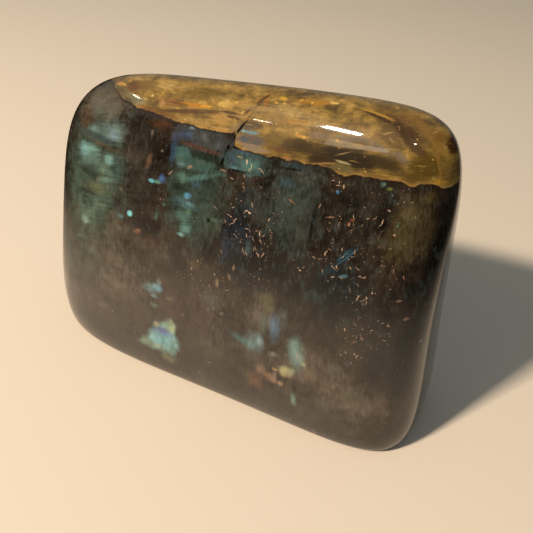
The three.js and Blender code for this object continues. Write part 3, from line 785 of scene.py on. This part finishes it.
# A thin copper line follows the rind's lower edge, over a dark one.
under_line = add("ShaderNodeMapRange", {
    "Value": over_edge, "From Min": -0.5, "From Max": -0.1, "To Max": 0.6},
    interpolation_type="SMOOTHSTEP", clamp=False).outputs[0]
colour = add("ShaderNodeMix", {0: under_line, COLOUR_A: colour, COLOUR_B: linear("#17110c")},
             data_type="RGBA").outputs[MIXED]
colour = add("ShaderNodeMix", {0: rind_share, COLOUR_A: colour, COLOUR_B: rind_colour},
             data_type="RGBA").outputs[MIXED]
above = add("ShaderNodeMath", {0: over_edge, 1: -0.12}, operation="ADD").outputs[0]
from_line = add("ShaderNodeMath", {0: above}, operation="ABSOLUTE").outputs[0]
edge_line = add("ShaderNodeMapRange", {
    "Value": from_line, "From Min": 0.05, "From Max": 0.2, "To Min": 0.4, "To Max": 0},
    interpolation_type="SMOOTHSTEP", clamp=False).outputs[0]
line_here = add("ShaderNodeMapRange", {"Value": noise["blotches"], "From Min": 0.42, "From Max": 0.58},
                interpolation_type="SMOOTHSTEP", clamp=False).outputs[0]
line_share = add("ShaderNodeMath", {0: edge_line, 1: line_here}, operation="MULTIPLY").outputs[0]
colour = add("ShaderNodeMix", {0: line_share, COLOUR_A: colour, COLOUR_B: linear("#96714e")},
             data_type="RGBA").outputs[MIXED]

# The rind's left end thins out to nothing, and the crack in it lies open, black with painted shade.
OVER = [
    (-30.4, 59.6, 4, 3, 45, 0.9, "#4a473a", 0.95),
    (-27.6, 57.6, 2.2, 1.2, 30, 0.9, "#4c4434", 0.8),
    (-26, 56.4, 2.6, 0.9, 15, 0.9, "#4a3f2e", 0.7),
    (-22.5, 55.5, 2.4, 0.6, 5, 0.9, "#33271a", 0.8),
    (-18, 54.8, 2.6, 0.6, 0, 0.9, "#2e2014", 0.8),
    (-13, 54.6, 2, 0.4, 0, 0.9, "#3a281a", 0.7),
    (-24.5, 57.9, 0.7, 0.4, 10, 0.8, "#b58a4c", 0.8),
    (-28, 57.2, 0.6, 0.4, 0, 0.8, "#8f6a3e", 0.7),
    # Painted shade: the open crack is black inside.
    (2.8, 56.3, 0.34, 1.1, -28, 0.4, "#0a0806", 0.97),
    (2.35, 55.6, 0.24, 0.5, 0, 0.5, "#0a0806", 0.9),
    (3.4, 57.2, 0.2, 0.5, -40, 0.5, "#0d0a08", 0.9),
    (1.9, 54.4, 0.13, 1.4, 8, 0.6, "#241a12", 0.8),
    (3.9, 58.3, 0.13, 1.3, -42, 0.6, "#38250f", 0.8),
]
colour = patches(colour, OVER, place, FRONT, rims["lumpy"], dim=(1, 1, 1))

# The sawn base is ground, not polished: pale, dull and scored by the saw.
on_base = add("ShaderNodeMapRange", {
    "Value": level, "From Min": 0.25, "From Max": 0.6, "To Min": 1, "To Max": 0},
    interpolation_type="SMOOTHSTEP", clamp=False).outputs[0]
colour = add("ShaderNodeMix", {0: on_base, COLOUR_A: colour, COLOUR_B: linear("#4a443d")},
             data_type="RGBA").outputs[MIXED]
saw_marks = add("ShaderNodeTexWave", {"Vector": place, "Scale": 0.35, "Distortion": 2, "Detail": 2})
scored = add("ShaderNodeMath", {0: saw_marks.outputs["Fac"], 1: on_base}, operation="MULTIPLY").outputs[0]
relief = add("ShaderNodeBump", {"Height": scored, "Strength": 0.4, "Distance": 0.1 * MM})
polish = add("ShaderNodeMapRange", {"Value": on_base, "To Min": 1, "To Max": 0}, clamp=False).outputs[0]

tree.links.new(colour, shader.inputs["Base Color"])
tree.links.new(relief.outputs[0], shader.inputs["Normal"])
tree.links.new(polish, shader.inputs["Coat Weight"])
shader.inputs["Roughness"].default_value = 0.4
shader.inputs["Specular IOR Level"].default_value = 0.1
shader.inputs["IOR"].default_value = 1.56
shader.inputs["Coat Roughness"].default_value = 0.05
shader.inputs["Coat IOR"].default_value = 1.56
stone.data.materials.clear()
stone.data.materials.append(labradorite)

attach(stone, "root")
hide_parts("labradorite_stone")


# ---------------------------------------------------------------------------------------------------
# The floor: a sheet of warm white drawing paper, pressed smooth and matt, larger than the view.

FLOOR_HALF = 0.9
bpy.ops.object.select_all(action="DESELECT")
bpy.ops.mesh.primitive_plane_add(size=2 * FLOOR_HALF)
floor = bpy.context.object
floor.name = "floor"
paper = bpy.data.materials.new("matt_paper")  # even and dull, with no sheen
paper.use_nodes = True
paper_shader = paper.node_tree.nodes["Principled BSDF"]
paper_shader.inputs["Base Color"].default_value = linear("#f3ece2")
paper_shader.inputs["Roughness"].default_value = 0.8
paper_shader.inputs["IOR"].default_value = 1.5
floor.data.materials.append(paper)


# ---------------------------------------------------------------------------------------------------
# Light: one warm lamp at the left gives the shading and the shadow. Small ones near it show only as
# highlights in the polish, and cards of black felt out of sight keep its mirror images dark.

heart = Vector((0, 0, 0.03))


def hang(name, azimuth, elevation, distance, wide, high, energy):
    """Hangs a lamp towards the left of the front by an azimuth and up by an elevation, in degrees."""
    towards = Vector((0, -1, 0))
    towards.rotate(Matrix.Rotation(radians(-elevation), 3, "X"))
    towards.rotate(Matrix.Rotation(radians(-azimuth), 3, "Z"))
    light = bpy.data.lights.new(name, "AREA")
    light.shape = "RECTANGLE"
    light.size = wide
    light.size_y = high
    light.energy = energy
    light.color = linear("#ffe6c8")[:3]  # lamplight
    lamp = bpy.data.objects.new(name, light)
    lamp.location = heart + distance * towards
    lamp.rotation_euler = towards.to_track_quat("Z", "Y").to_euler()
    bpy.context.scene.collection.objects.link(lamp)
    return lamp


key_lamp = hang("key_lamp", 33, 42, 0.85, 0.085, 0.064, 8.7)
key_lamp.visible_glossy = False
GLINT_DISTANCE = 0.6
# Azimuth, elevation, width and height in metres, energy.
GLINTS = [
    (27.5, 53.2, 0.075, 0.016, 1.9),
    (73.4, 41.4, 0.07, 0.006, 0.045),
    (-26, 52.1, 0.012, 0.012, 0.1),
    (42, 46.4, 0.03, 0.004, 0.02),
    (12, 43, 0.2, 0.05, 0.09),
]
for azimuth, elevation, wide, high, energy in GLINTS:
    glint_lamp = hang("glint_lamp", azimuth, elevation, GLINT_DISTANCE, wide, high, energy)
    glint_lamp.visible_diffuse = False
    glint_lamp.visible_transmission = False

felt = bpy.data.materials.new("black_felt")  # dark and dull, and see-through along its foot
felt.use_nodes = True
tree = felt.node_tree
felt_shader = tree.nodes["Principled BSDF"]
felt_shader.inputs["Base Color"].default_value = linear("#1a1814")
felt_shader.inputs["Roughness"].default_value = 1.0
height = add("ShaderNodeSeparateXYZ", {0: add("ShaderNodeNewGeometry", {}).outputs["Position"]})
fade = add("ShaderNodeMapRange", {"Value": height.outputs["Z"], "From Min": 2 * MM, "From Max": 30 * MM})
tree.links.new(fade.outputs[0], felt_shader.inputs["Alpha"])

# A card's middle, its width and height in metres, and how far it is turned, in degrees.
CARDS = [
    ((0, -0.075, 0.06), 0.5, 0.12, 0),
    ((0.072, -0.03, 0.06), 0.2, 0.12, 90),
    ((-0.056, -0.02, 0.03), 0.12, 0.06, 90),
]
for middle, wide, high, turn in CARDS:
    bpy.ops.object.select_all(action="DESELECT")
    bpy.ops.mesh.primitive_plane_add(size=1, rotation=(radians(90), 0, radians(turn)))
    card = bpy.context.object
    card.name = "dark_card"
    card.scale = (wide, high, 1)
    card.location = middle
    card.visible_camera = False
    card.visible_diffuse = False
    card.visible_shadow = False
    card.visible_transmission = False
    card.data.materials.append(felt)

# The room's own dim light fills the shadows.
room = bpy.data.worlds.new("room")
bpy.context.scene.world = room
room.use_nodes = True
background = room.node_tree.nodes["Background"]
background.inputs["Color"].default_value = linear("#fbfff7")
background.inputs["Strength"].default_value = 0.175


# ---------------------------------------------------------------------------------------------------
# Camera: held close, above the stone and to the right of its front.

TARGET = Vector((6.71, 1.32, 24.8)) * MM
DISTANCE = 124.9 * MM
AZIMUTH = 25.9
ELEVATION = 37.0
ROLL = 2.0
SENSOR_WIDTH = 36  # millimetres, as is the focal length
FOCAL_LENGTH = 40.53
away = Vector((0, -1, 0))
away.rotate(Matrix.Rotation(radians(-ELEVATION), 3, "X"))
away.rotate(Matrix.Rotation(radians(AZIMUTH), 3, "Z"))
lens = bpy.data.cameras.new("camera")
lens.sensor_width = SENSOR_WIDTH
lens.lens = FOCAL_LENGTH
lens.clip_start = 5 * MM
camera = bpy.data.objects.new("camera", lens)
camera.location = TARGET + DISTANCE * away
camera.rotation_mode = "QUATERNION"
level_view = away.to_track_quat("Z", "Y")
level_view.rotate(Matrix.Rotation(radians(ROLL), 3, away))
camera.rotation_quaternion = level_view
bpy.context.scene.collection.objects.link(camera)
bpy.context.scene.camera = camera
bpy.context.scene.view_settings.view_transform = "Standard"
